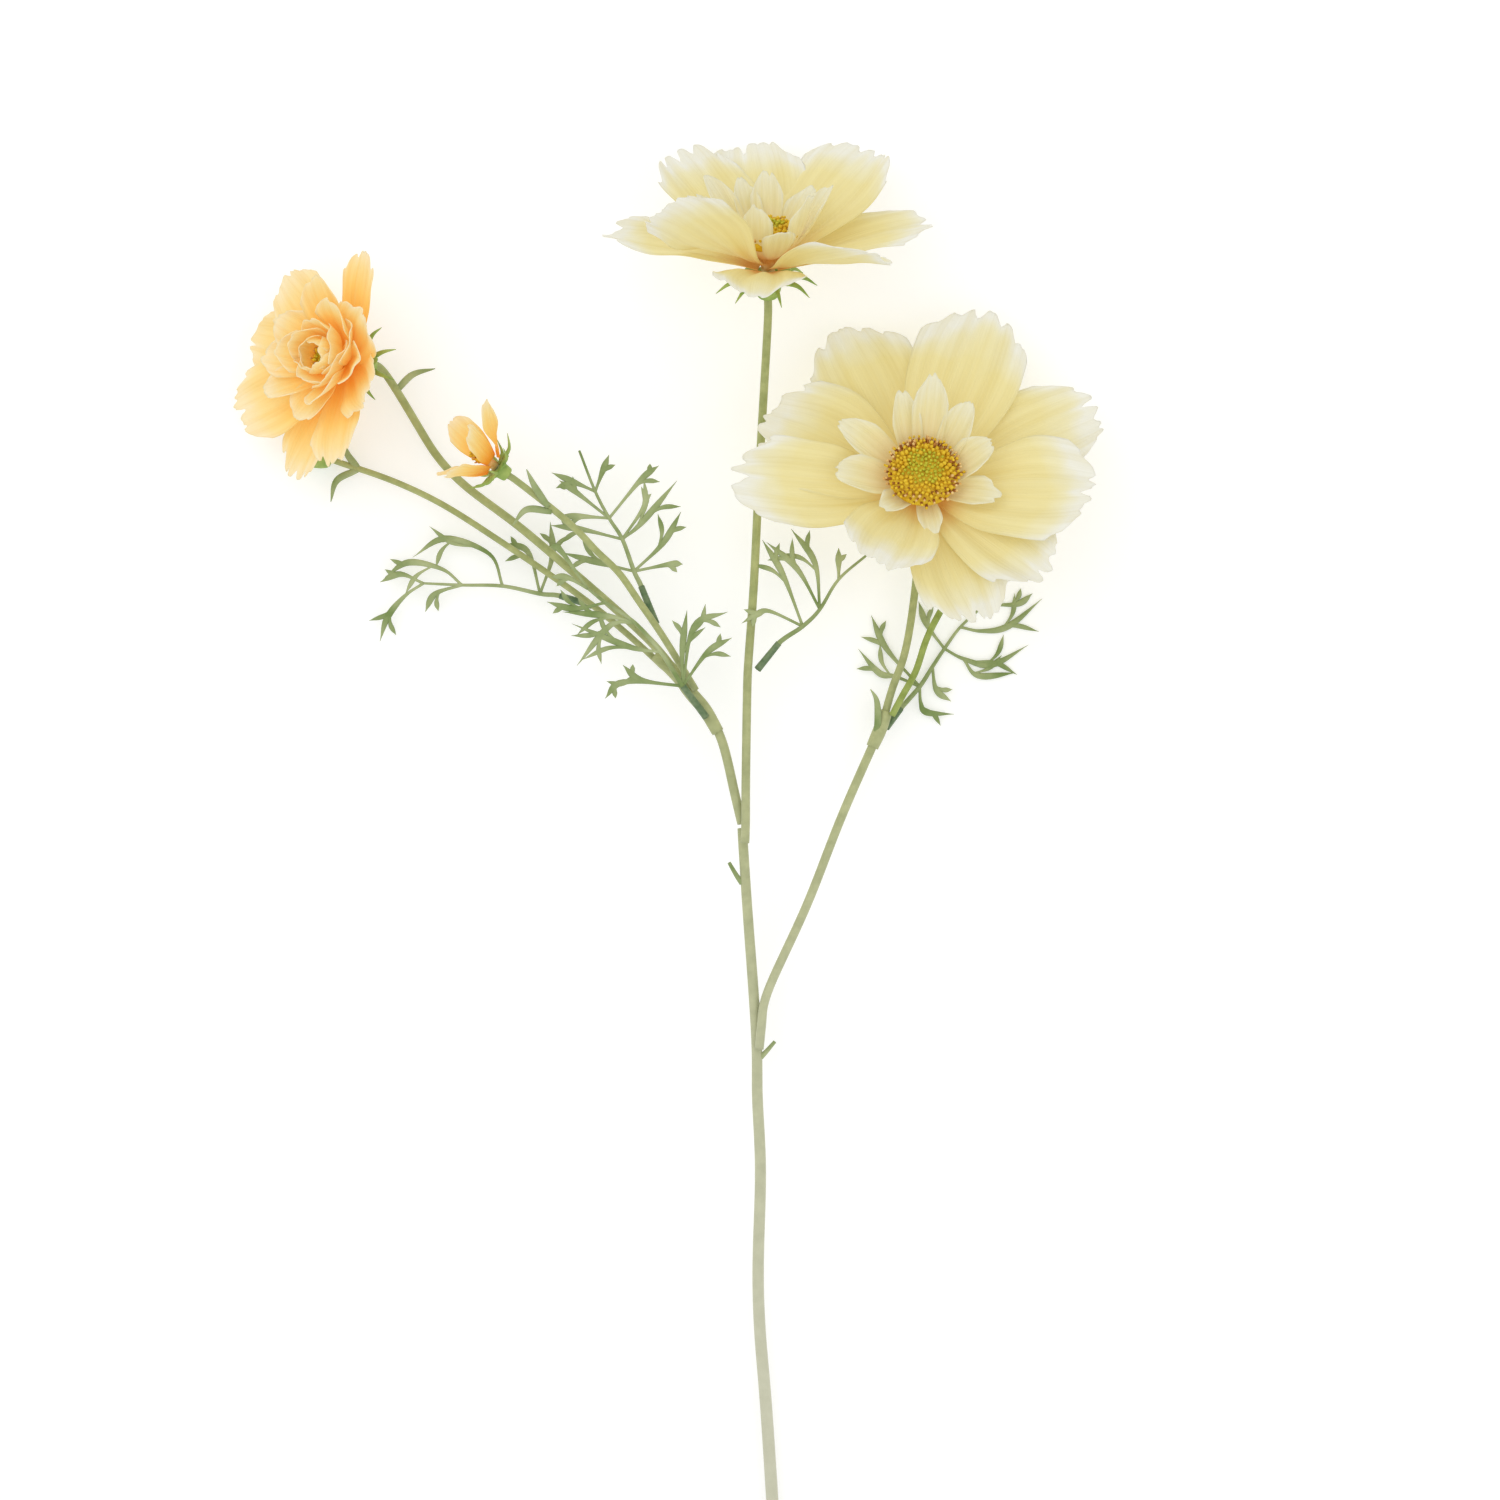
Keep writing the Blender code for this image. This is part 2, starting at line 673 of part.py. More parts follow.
def main():
    for obj in list(bpy.data.objects):
        bpy.data.objects.remove(obj, do_unlink=True)
    collection = bpy.data.collections.new("cosmos_spray")
    bpy.context.scene.collection.children.link(collection)
    cutters = bpy.data.collections.new("leaflets")
    cutters.hide_render = True
    bpy.context.scene.collection.children.link(cutters)

    fabric = material("petal_fabric", FABRIC, 0.75)
    golden = material("golden_fabric", GOLDEN, 0.75)
    stem_green = material("stem_green", STEM_GREEN, 0.6)
    leaf_green = material("leaf_green", LEAF_GREEN, 0.6)
    calyx_green = material("calyx_green", CALYX_GREEN, 0.6)
    centre_yellow = material("centre_yellow", CENTRE_YELLOW, 0.85)

    blooms = (
        (RIGHT_BLOOM, fabric, 1.0),
        (TOP_BLOOM, fabric, 1.0),
        (LEFT_BLOOM, golden, 0.9),
        (SMALL_FLOWER, golden, 0.55),
    )
    for head, finish, size in blooms:
        for number, spec in enumerate(head["petals"], 1):
            petal(f"{head['name']}_petal_{number}", head, spec, finish)
        for ring in head["rings"]:
            petal_ring(f"{head['name']}_{ring['name']}", head, ring, finish)
        flower_centre(head, centre_yellow)
        calyx(head["name"] + "_calyx", head, head["bracts"], size, calyx_green)
    for spec in BUDS:
        bud(spec, golden, calyx_green)

    heads = {head["name"]: head for head in (RIGHT_BLOOM, TOP_BLOOM, LEFT_BLOOM, SMALL_FLOWER, *BUDS)}
    for name, (radii, points) in STEMS.items():
        stem(name, radii, stem_points(name, points, heads), stem_green)
    for name, spec in LEAVES.items():
        leaf(name, spec, leaf_green)
    centre_over_origin(list(collection.objects))


main()
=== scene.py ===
import math
import random

import bmesh
import bpy
from mathutils import Matrix, Vector, noise


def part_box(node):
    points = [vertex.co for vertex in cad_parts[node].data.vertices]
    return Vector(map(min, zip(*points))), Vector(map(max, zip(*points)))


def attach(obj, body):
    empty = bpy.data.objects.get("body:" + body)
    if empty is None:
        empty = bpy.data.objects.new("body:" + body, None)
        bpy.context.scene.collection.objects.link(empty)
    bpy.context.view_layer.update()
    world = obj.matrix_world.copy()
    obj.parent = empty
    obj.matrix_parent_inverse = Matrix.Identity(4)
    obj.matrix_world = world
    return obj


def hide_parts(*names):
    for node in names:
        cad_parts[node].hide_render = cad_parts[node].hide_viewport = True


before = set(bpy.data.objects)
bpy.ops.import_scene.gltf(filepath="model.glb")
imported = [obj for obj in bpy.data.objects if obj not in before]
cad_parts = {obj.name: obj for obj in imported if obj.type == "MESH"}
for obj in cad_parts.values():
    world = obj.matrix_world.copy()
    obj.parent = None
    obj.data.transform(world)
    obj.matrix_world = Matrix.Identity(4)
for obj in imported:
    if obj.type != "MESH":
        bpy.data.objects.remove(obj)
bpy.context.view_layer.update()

mm = 0.001

# The spray's own places are in millimetres from a point level with the table, 68 mm up from the cut.
stemLow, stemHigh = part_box("main_stem")
cutCorner = Vector((11.598, -68.081, 0.318))  # the cut end's right, lower corner in those places
sprayOrigin = Vector((stemHigh.x, stemLow.y, stemLow.z)) - cutCorner * mm


def place(point):
    return sprayOrigin + Vector(point) * mm


# camera, lights and floor

stageSetup = {
    "lookAt": (0.0, 210.0, 20.0),
    "distance": 2.2,  # metres, long enough for a flat product view
    "across": 0.42,  # metres of table that the frame spans
    "sensor": 36.0,
    "floorSize": 6.0,
    "floorColour": (0.76, 0.76, 0.755, 1.0),
    "floorGlow": 0.34,  # a light table, so that shadows stay faint
    "worldColour": (1.0, 1.0, 1.0, 1.0),
    "worldStrength": 0.8,
    "keyPlace": (-0.75, 0.55, 1.5),
    "keySize": 2.0,
    "keyPower": 6.5,
    "fillPlace": (0.9, -0.5, 1.3),
    "fillSize": 1.6,
    "fillPower": 3.5,
}


def makeCamera(setup):
    target = place(setup["lookAt"])
    data = bpy.data.cameras.new("camera")
    data.sensor_width = setup["sensor"]
    data.lens = setup["sensor"] * setup["distance"] / setup["across"]
    camera = bpy.data.objects.new("camera", data)
    camera.location = target + Vector((0, 0, setup["distance"]))
    bpy.context.scene.collection.objects.link(camera)
    bpy.context.scene.camera = camera
    return target


def makeLight(name, target, offset, size, power):
    data = bpy.data.lights.new(name, "AREA")
    data.shape = "DISK"
    data.size = size
    data.energy = power
    light = bpy.data.objects.new(name, data)
    light.location = target + Vector(offset)
    light.rotation_euler = (target - light.location).to_track_quat("-Z", "Y").to_euler()
    bpy.context.scene.collection.objects.link(light)


def makeStage(setup):
    target = makeCamera(setup)
    makeLight("key", target, setup["keyPlace"], setup["keySize"], setup["keyPower"])
    makeLight("fill", target, setup["fillPlace"], setup["fillSize"], setup["fillPower"])
    world = bpy.data.worlds.new("studio")
    world.use_nodes = True
    background = world.node_tree.nodes["Background"]
    background.inputs["Color"].default_value = setup["worldColour"]
    background.inputs["Strength"].default_value = setup["worldStrength"]
    bpy.context.scene.world = world
    bm = bmesh.new()
    bmesh.ops.create_grid(bm, x_segments=1, y_segments=1, size=setup["floorSize"] / 2)
    mesh = bpy.data.meshes.new("floor")
    bm.to_mesh(mesh)
    bm.free()
    floor = bpy.data.objects.new("floor", mesh)
    bpy.context.scene.collection.objects.link(floor)
    finish = bpy.data.materials.new("floorPaper")
    finish.use_nodes = True
    shader = finish.node_tree.nodes["Principled BSDF"]
    shader.inputs["Base Color"].default_value = setup["floorColour"]
    shader.inputs["Roughness"].default_value = 0.9
    shader.inputs["Emission Color"].default_value = (1.0, 1.0, 1.0, 1.0)
    shader.inputs["Emission Strength"].default_value = setup["floorGlow"]
    mesh.materials.append(finish)
    bpy.context.scene.view_settings.view_transform = "Standard"


makeStage(stageSetup)
print("stage set")


# materials

plainWhite = (1.0, 1.0, 1.0)

def addNode(tree, kind, **inputs):
    node = tree.nodes.new(kind)
    for name, value in inputs.items():
        node.inputs[name.replace("_", " ")].default_value = value
    return node


def mapped(tree, source, scale):
    mapping = addNode(tree, "ShaderNodeMapping", Scale=scale)
    tree.links.new(source, mapping.inputs["Vector"])
    return mapping.outputs["Vector"]


def noiseFrom(tree, vector, scale, detail=3.0, roughness=0.55):
    node = addNode(tree, "ShaderNodeTexNoise", Scale=scale, Detail=detail, Roughness=roughness)
    tree.links.new(vector, node.inputs["Vector"])
    return node.outputs["Fac"]


def mathNode(tree, operation, first, second):
    node = tree.nodes.new("ShaderNodeMath")
    node.operation = operation
    for socket, value in zip(node.inputs, (first, second)):
        if isinstance(value, (int, float)):
            socket.default_value = value
        else:
            tree.links.new(value, socket)
    return node.outputs[0]


def ramp(tree, factor, stops):
    node = tree.nodes.new("ShaderNodeValToRGB")
    elements = node.color_ramp.elements
    while len(elements) < len(stops):
        elements.new(0.5)
    for element, (position, colour) in zip(elements, stops):
        element.position = position
        element.color = (*colour, 1.0)
    tree.links.new(factor, node.inputs["Fac"])
    return node.outputs["Color"]


def mixColour(tree, factor, first, second, blend="MIX"):
    node = tree.nodes.new("ShaderNodeMix")
    node.data_type = "RGBA"
    node.blend_type = blend
    sockets = (node.inputs["Factor"], node.inputs[6], node.inputs[7])  # 6 and 7 are the two colours
    for socket, value in zip(sockets, (factor, first, second)):
        if isinstance(value, float):
            socket.default_value = value
        elif isinstance(value, tuple):
            socket.default_value = (*value, 1.0)
        else:
            tree.links.new(value, socket)
    return node.outputs[2]


def bumpFrom(tree, height, strength, distance):
    node = addNode(tree, "ShaderNodeBump", Strength=strength, Distance=distance)
    tree.links.new(height, node.inputs["Height"])
    return node.outputs["Normal"]


def newMaterial(name, roughness, sheen=0.0, specular=0.3):
    finish = bpy.data.materials.new(name)
    finish.use_nodes = True
    shader = finish.node_tree.nodes["Principled BSDF"]
    shader.inputs["Roughness"].default_value = roughness
    shader.inputs["Sheen Weight"].default_value = sheen
    shader.inputs["Specular IOR Level"].default_value = specular
    return finish, finish.node_tree, shader


def petalFabric(name, look):
    finish, tree, shader = newMaterial(name, look["roughness"], look["sheen"], look["specular"])
    uv = tree.nodes.new("ShaderNodeUVMap")
    uv.uv_map = "petal"
    split = tree.nodes.new("ShaderNodeSeparateXYZ")
    tree.links.new(uv.outputs["UV"], split.inputs[0])
    coords = tree.nodes.new("ShaderNodeTexCoord").outputs["Object"]
    cloud = noiseFrom(tree, coords, look["cloudScale"], detail=2.0)
    wander = mathNode(tree, "MULTIPLY", mathNode(tree, "SUBTRACT", cloud, 0.5), look["wander"])
    body = ramp(tree, mathNode(tree, "ADD", split.outputs["Y"], wander), look["stops"])
    streak = noiseFrom(tree, mapped(tree, uv.outputs["UV"], look["streaks"]), 1.0, detail=4.0)
    vein = noiseFrom(tree, mapped(tree, uv.outputs["UV"], look["veins"]), 1.0, detail=2.0)
    shade = ramp(tree, vein, ((0.3, look["veinDark"]), (0.62, plainWhite)))
    body = mixColour(tree, look["veinDepth"], body, shade, "MULTIPLY")
    fine = ramp(tree, streak, ((0.32, look["streakDark"]), (0.68, plainWhite)))
    body = mixColour(tree, look["streakDepth"], body, fine, "MULTIPLY")
    body = mixColour(tree, 1.0, body, look["dye"], "MULTIPLY")
    tree.links.new(body, shader.inputs["Base Color"])
    relief = mathNode(tree, "ADD", mathNode(tree, "MULTIPLY", streak, 0.5), vein)
    tree.links.new(bumpFrom(tree, relief, look["bump"], look["relief"]), shader.inputs["Normal"])
    # painted glow: each petal emits its own colour, standing in for light shining through the thin cloth
    tree.links.new(body, shader.inputs["Emission Color"])
    shader.inputs["Emission Strength"].default_value = look["paintedGlow"]
    return finish


butterLook = {
    "roughness": 0.72,
    "sheen": 0.05,
    "specular": 0.25,
    "cloudScale": 55.0,
    "wander": 0.4,  # how far the colours stray along the petal
    "streaks": (70.0, 2.2, 1.0),  # many across the petal, few along it
    "streakDark": (0.94, 0.93, 0.90),
    "streakDepth": 0.8,
    "veins": (9.0, 0.8, 1.0),
    "veinDark": (0.93, 0.89, 0.74),
    "veinDepth": 0.75,
    "bump": 0.6,
    "relief": 0.0006,  # metres
    "dye": (0.80, 0.82, 0.79),  # how deep the whole cloth is dyed
    "paintedGlow": 0.27,  # painted glow: the cloth emits its own colour everywhere, standing in for light coming through thin cloth
    "stops": (
        (0.02, (0.80, 0.42, 0.10)),
        (0.16, (0.87, 0.64, 0.25)),
        (0.32, (0.88, 0.74, 0.35)),
        (0.70, (0.87, 0.76, 0.40)),
        (0.83, (0.87, 0.80, 0.55)),
        (0.94, (0.88, 0.85, 0.78)),
    ),
}
creamLook = {
    **butterLook,
    "cloudScale": 60.0,
    "stops": (
        (0.05, (0.87, 0.50, 0.17)),
        (0.30, (0.90, 0.72, 0.38)),
        (0.7, (0.89, 0.79, 0.47)),
        (1.0, (0.89, 0.84, 0.66)),
    ),
}
goldenLook = {
    **butterLook,
    "dye": (0.88, 0.80, 0.70),
    # painted glow, a little stronger on the golden cloth
    "paintedGlow": 0.34,
    "cloudScale": 50.0,
    "veinDark": (0.97, 0.86, 0.66),
    "stops": (
        (0.05, (0.86, 0.34, 0.02)),
        (0.3, (0.89, 0.52, 0.10)),
        (0.58, (0.89, 0.66, 0.22)),
        (0.82, (0.87, 0.75, 0.38)),
        (1.0, (0.87, 0.81, 0.58)),
    ),
}


speckleRelief = 0.0002  # metres
grainDark = (0.90, 0.90, 0.88)


def speckled(name, look):
    finish, tree, shader = newMaterial(name, look["roughness"], sheen=look.get("sheen", 0.0))
    coords = tree.nodes.new("ShaderNodeTexCoord").outputs["Object"]
    cloud = noiseFrom(tree, coords, look["scale"], detail=4.0)
    body = ramp(tree, cloud, ((0.32, look["dark"]), (0.68, look["light"])))
    if "paleEnd" in look:  # greyer and paler towards the cut end, which lies at low y
        split = tree.nodes.new("ShaderNodeSeparateXYZ")
        tree.links.new(coords, split.inputs[0])
        low, high = look["fade"]
        share = tree.nodes.new("ShaderNodeMapRange")
        share.inputs["From Min"].default_value = low
        share.inputs["From Max"].default_value = high
        tree.links.new(split.outputs["Y"], share.inputs["Value"])
        body = mixColour(tree, share.outputs["Result"], look["paleEnd"], body)
        grain = ramp(tree, cloud, ((0.3, grainDark), (0.7, plainWhite)))
        body = mixColour(tree, 0.9, body, grain, "MULTIPLY")
    tree.links.new(body, shader.inputs["Base Color"])
    fine = noiseFrom(tree, coords, look["grain"], detail=2.0)
    tree.links.new(bumpFrom(tree, fine, look["bump"], speckleRelief), shader.inputs["Normal"])
    return finish


speckles = {
    "stemFlock": {
        "roughness": 0.75, "sheen": 0.2, "scale": 260.0, "grain": 2600.0, "bump": 0.5,
        "dark": (0.34, 0.38, 0.14), "light": (0.45, 0.48, 0.20),
        "paleEnd": (0.60, 0.60, 0.45), "fade": (-0.12, 0.10),
    },
    "oliveStalk": {
        "roughness": 0.6, "scale": 300.0, "grain": 2400.0, "bump": 0.4,
        "dark": (0.22, 0.29, 0.05), "light": (0.36, 0.44, 0.12),
    },
    "leafSage": {
        "roughness": 0.7, "sheen": 0.15, "scale": 90.0, "grain": 2200.0, "bump": 0.45,
        "dark": (0.19, 0.27, 0.08), "light": (0.44, 0.49, 0.25),
    },
    "pegGreen": {
        "roughness": 0.55, "scale": 500.0, "grain": 2600.0, "bump": 0.5,
        "dark": (0.09, 0.16, 0.07), "light": (0.20, 0.27, 0.14),
    },
    "calyxGreen": {
        "roughness": 0.6, "scale": 220.0, "grain": 1900.0, "bump": 0.4,
        "dark": (0.20, 0.34, 0.06), "light": (0.42, 0.52, 0.14),
    },
    "floretGreen": {
        "roughness": 0.6, "scale": 700.0, "grain": 3500.0, "bump": 0.5,
        "dark": (0.42, 0.42, 0.02), "light": (0.72, 0.66, 0.05),
    },
    "floretYellow": {
        "roughness": 0.6, "scale": 600.0, "grain": 3500.0, "bump": 0.5,
        "dark": (0.72, 0.42, 0.01), "light": (0.88, 0.64, 0.04),
    },
    "floretRust": {
        "roughness": 0.7, "scale": 500.0, "grain": 3500.0, "bump": 0.5,
        "dark": (0.28, 0.08, 0.02), "light": (0.58, 0.26, 0.05),
    },
    "antherTip": {
        "roughness": 0.7, "scale": 800.0, "grain": 3500.0, "bump": 0.5,
        "dark": (0.75, 0.40, 0.10), "light": (0.92, 0.68, 0.30),
    },
}
finishes = {name: speckled(name, look) for name, look in speckles.items()}
finishes["butterFabric"] = petalFabric("butterFabric", butterLook)
finishes["creamFabric"] = petalFabric("creamFabric", creamLook)
finishes["goldenFabric"] = petalFabric("goldenFabric", goldenLook)
print("finishes mixed")


# shared shapes


def finishPiece(name, bm, materials, nodes=()):
    mesh = bpy.data.meshes.new(name)
    bm.to_mesh(mesh)
    bm.free()
    for key in materials:
        mesh.materials.append(finishes[key])
    mesh.shade_smooth()
    piece = bpy.data.objects.new(name, mesh)
    bpy.context.scene.collection.objects.link(piece)
    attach(piece, "root")
    if nodes:
        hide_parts(*nodes)
    return piece


def smoothStep(low, high, value):
    share = min(max((value - low) / (high - low), 0), 1)
    return share * share * (3 - 2 * share)


def smoothRoute(points, perSpan):
    knots = [Vector(point) for point in points]
    knots = [2 * knots[0] - knots[1], *knots, 2 * knots[-1] - knots[-2]]
    route = []
    for a, b, c, d in zip(knots, knots[1:], knots[2:], knots[3:]):
        for step in range(perSpan):
            t = step / perSpan
            bend = (2 * a - 5 * b + 4 * c - d) * t**2
            swing = (3 * b - a - 3 * c + d) * t**3
            route.append(0.5 * (2 * b + (c - a) * t + bend + swing))
    route.append(knots[-2])
    return route


bladeWeld = 1e-6  # metres


def addBlade(bm, points, halfWidth, halfHeight, around=8, perSpan=8, material=0):
    route = smoothRoute(points, perSpan)
    last = len(route) - 1
    made = bmesh.ops.create_grid(bm, x_segments=around, y_segments=last, size=1)["verts"]
    for vert in made:
        k = round((vert.co.y + 1) / 2 * last)
        turn = math.pi * (vert.co.x + 1)
        ahead = (route[min(k + 1, last)] - route[max(k - 1, 0)]).normalized()
        side = ahead.cross(Vector((0, 0, 1))).normalized()
        half = halfWidth(k / last)
        across = side * (half * math.cos(turn))
        up = side.cross(ahead) * (min(half, halfHeight) * math.sin(turn))
        vert.co = place(route[k] + across + up)
    bmesh.ops.remove_doubles(bm, verts=made, dist=bladeWeld)
    made = [vert for vert in made if vert.is_valid]
    rims = [edge for vert in made for edge in vert.link_edges if edge.is_boundary]
    caps = bmesh.ops.holes_fill(bm, edges=list(set(rims)), sides=0)["faces"]
    faces = {face for vert in made for face in vert.link_faces} | set(caps)
    bmesh.ops.recalc_face_normals(bm, faces=list(faces))
    for face in faces:
        face.material_index = material


# heads: where each flower sits and how it faces

heads = {
    "right_bloom": {"origin": (48.2, 281.6, 24.0), "axis": (0.0, 0.454, 0.891)},
    "top_bloom": {"origin": (5.0, 343.8, 33.7), "axis": (0.0, 0.906, 0.423)},
    "left_bloom": {"origin": (-111.4, 318.6, 19.3), "axis": (-0.68, 0.12, 0.72)},
    "small_flower": {"origin": (-71.4, 289.4, 26.5), "axis": (-0.80, 0.55, 0.25)},
    "left_bud": {"origin": (-122.0, 293.4, 6.6), "axis": (-0.93, 0.35, 0.06)},
    "right_bud": {"origin": (60.4, 260.4, 9.0), "axis": (0.52, 0.84, 0.12)},
}


def headMatrix(name):
    axis = Vector(heads[name]["axis"]).normalized()
    across = (Vector((1, 0, 0)) - axis * axis.x).normalized()
    turn = Matrix((across, axis.cross(across), axis)).transposed()
    return Matrix.Translation(Vector(heads[name]["origin"])) @ turn.to_4x4()


# petals

petalStart = 2.6  # radius where a claw begins
layerStep = 1.05
ribSteps = 60
fullTurn = 6.28
petalStyle = {
    "across": 40,  # faces across the petal and along it
    "along": 48,
    "wall": 0.2,
    "cup": 0.16,
    "shoulder": 0.22,  # how far the sides fall short of the tip
    "claw": 2.1,  # half width of the claw, at most clawMost of the petal's
    "clawMost": 0.45,
    "swell": 0.95,
    "fullSize": 14,  # half width at which the folds have their full depth
    "pleats": 3.0,
    "pleatDepth": 0.75,
    "ruffle": 1.2,
    "tipWave": 1.1,
    "teeth": 5,
    "toothDepth": 0.085,
    "tear": 0.07,  # irregular nicks in the tip
    "widest": 0.66,
    "tipNarrowing": 0.22,
}


def openingAngle(s, angles):
    atClaw, atMiddle, atTip = angles
    return math.radians(
        atClaw * 2 * (s - 0.5) * (s - 1) - atMiddle * 4 * s * (s - 1) + atTip * 2 * s * (s - 0.5)
    )


def midribOf(length, angles, base):
    points = [(petalStart, base, openingAngle(0, angles))]
    step = length / ribSteps
    for k in range(1, ribSteps + 1):
        angle = openingAngle((k - 0.5) / ribSteps, angles)
        radius, height, _ = points[-1]
        bent = openingAngle(k / ribSteps, angles)
        points.append((radius + step * math.sin(angle), height + step * math.cos(angle), bent))
    return points


def ribAt(points, s):
    spot = min(max(s, 0), 1) * (len(points) - 1)
    k = min(int(spot), len(points) - 2)
    return [a + (b - a) * (spot - k) for a, b in zip(points[k], points[k + 1])]


def drawMood(seed):  # what makes one petal unlike the next
    rnd = random.Random(seed)
    return {
        "seed": seed,
        "pleat": rnd.uniform(-0.6, 0.6),
        "ruffle": (rnd.uniform(0, fullTurn), rnd.uniform(0, fullTurn)),  # one for each edge
        "turns": rnd.uniform(1.2, 2.0),
        "tip": rnd.uniform(0, fullTurn),
        "tooth": rnd.uniform(0.0, 1.0),
    }


def tipReach(w, s, mood, style):
    tooth = (0.5 + 0.5 * math.cos(2 * math.pi * (style["teeth"] * (w + 1) / 2 + mood["tooth"]))) ** 3
    depth = style["toothDepth"] * (0.5 + noise.noise((w * 2.2, mood["seed"] * 1.7, 0.3)))
    nick = style["tear"] * max(noise.noise((w * 6.5, mood["seed"] * 0.9, 1.7)), 0)
    return 1 - style["shoulder"] * abs(w) ** 3 - (tooth * max(depth, 0) + nick) * smoothStep(0.72, 1, s)


def widthShare(s, claw, style):
    widest = style["widest"]
    if s < widest:
        return claw + (1 - claw) * math.sin(0.5 * math.pi * s / widest) ** style["swell"]
    return 1 - style["tipNarrowing"] * ((s - widest) / (1 - widest)) ** 2


def clothLift(w, s, half, size, mood, style):  # cup, pleats, ruffled edges, wavy tip and soft dents
    opened = smoothStep(0.05, 0.35, s)
    pleat = math.cos(style["pleats"] * math.pi * w + mood["pleat"])
    edge = abs(w) ** 2.5 * smoothStep(0.25, 0.7, s)
    lift = style["cup"] * half * w * w
    lift += style["pleatDepth"] * size * pleat * opened * (1 - 0.5 * s)
    lift += style["ruffle"] * size * edge * math.sin(fullTurn * mood["turns"] * s + mood["ruffle"][w > 0])
    lift += style["tipWave"] * size * smoothStep(0.65, 1, s) * math.sin(4.2 * w + mood["tip"])
    return lift + 0.5 * size * opened * noise.noise((w * 1.4, s * 2.2, mood["seed"] * 0.37))


def addPetal(bm, frameMatrix, spec, style, seed):
    azimuth, length, halfWidth, angles, base, bend, roll = spec
    turn = frameMatrix @ Matrix.Rotation(math.radians(azimuth), 4, "Z")
    rib = midribOf(length, angles, base)
    mood = drawMood(seed)
    claw = min(style["claw"] / halfWidth, style["clawMost"])
    size = halfWidth / style["fullSize"]
    uv = bm.loops.layers.uv.get("petal") or bm.loops.layers.uv.new("petal")
    made = bmesh.ops.create_grid(bm, x_segments=style["across"], y_segments=style["along"], size=1)["verts"]
    for face in {face for vert in made for face in vert.link_faces}:
        for loop in face.loops:
            loop[uv].uv = ((loop.vert.co.x + 1) / 2, (loop.vert.co.y + 1) / 2)
    for vert in made:
        w, s = vert.co.x, (vert.co.y + 1) / 2
        s *= tipReach(w, s, mood, style)
        radius, height, angle = ribAt(rib, s)
        half = halfWidth * widthShare(s, claw, style)
        twist = math.radians(roll) * smoothStep(0.05, 0.6, s)
        side = half * w * math.cos(twist) + bend * length * s * s
        lift = clothLift(w, s, half, size, mood, style) + half * w * math.sin(twist)
        spot = Vector((radius - lift * math.cos(angle), side, height + lift * math.sin(angle)))
        vert.co = place(turn @ spot)


def thicken(piece, wall):
    modifier = piece.modifiers.new("wall", "SOLIDIFY")
    modifier.thickness = wall * mm
    modifier.offset = 0


# Each petal: azimuth, length, half width, opening angles at claw, middle and tip, layer, bend and roll.
bloomPetals = {
    "right_bloom": (
        (157, 47, 17.5, (68, 77, 88), 1, 0.03, 0),
        (115, 52, 15.5, (70, 83, 94), 0, 0.0, 0),
        (70, 54, 16.2, (68, 79, 90), 1, 0.0, 0),
        (25, 53, 14.5, (70, 83, 92), 0, 0.0, 0),
        (-13, 48, 16.5, (66, 71, 80), 2, 0.04, 0),
        (-40, 45, 13.0, (68, 78, 86), 1, -0.04, 0),
        (-70, 44, 13.5, (70, 84, 92), 0, 0.0, 0),
        (-115, 38, 13.5, (76, 57, 70), 3, 0.05, 0),
        (-170, 53, 12.5, (68, 75, 80), 2, -0.10, -38),
    ),
    "top_bloom": (
        (170, 45, 12.0, (68, 82, 88), 0, 0.0, 0),
        (127, 45, 14.0, (66, 62, 66), 2, 0.0, 0),
        (97, 46, 14.5, (66, 61, 66), 0, 0.0, 0),
        (50, 48, 15.5, (66, 64, 68), 2, 0.0, 0),
        (8, 45, 14.0, (70, 76, 80), 0, 0.0, 0),
        (-46, 44, 14.0, (68, 70, 76), 1, 0.0, -24),
        (-95, 38, 13.0, (70, 77, 90), 0, 0.0, 0),
        (-143, 43, 13.5, (66, 52, 60), 2, 0.0, 42),
    ),
    "left_bloom": (
        (20, 24, 9.0, (66, 54, 60), 3, 0.0, 20),
        (70, 29, 6.2, (70, 82, 90), 0, 0.05, 0),
        (123, 29, 10.5, (68, 66, 84), 1, 0.0, 0),
        (162, 33, 10.0, (70, 78, 84), 0, 0.0, 0),
        (203, 34, 12.0, (68, 68, 74), 2, 0.0, 0),
        (243, 34, 8.5, (70, 78, 84), 0, 0.0, 0),
        (278, 31, 9.0, (68, 70, 78), 1, 0.0, 0),
        (322, 24, 9.5, (70, 62, 66), 2, 0.0, 0),
    ),
    "small_flower": (
        (20, 17, 4.4, (48, 40, 46), 0, 0.0, -35),
        (92, 17, 4.6, (44, 30, 34), 1, 0.0, 0),
        (164, 15, 4.2, (50, 44, 50), 0, 0.0, 20),
        (236, 14, 4.2, (48, 40, 48), 1, 0.0, 0),
        (308, 15, 4.2, (44, 34, 40), 2, 0.0, 25),
    ),
}
bloomFinish = {
    "right_bloom": ("butterFabric", "petal_fabric"),
    "top_bloom": ("butterFabric", "petal_fabric"),
    "left_bloom": ("goldenFabric", "golden_fabric"),
    "small_flower": ("goldenFabric", "golden_fabric"),
}
smallPetalStyle = {**petalStyle, "teeth": 2, "along": 30, "across": 18}


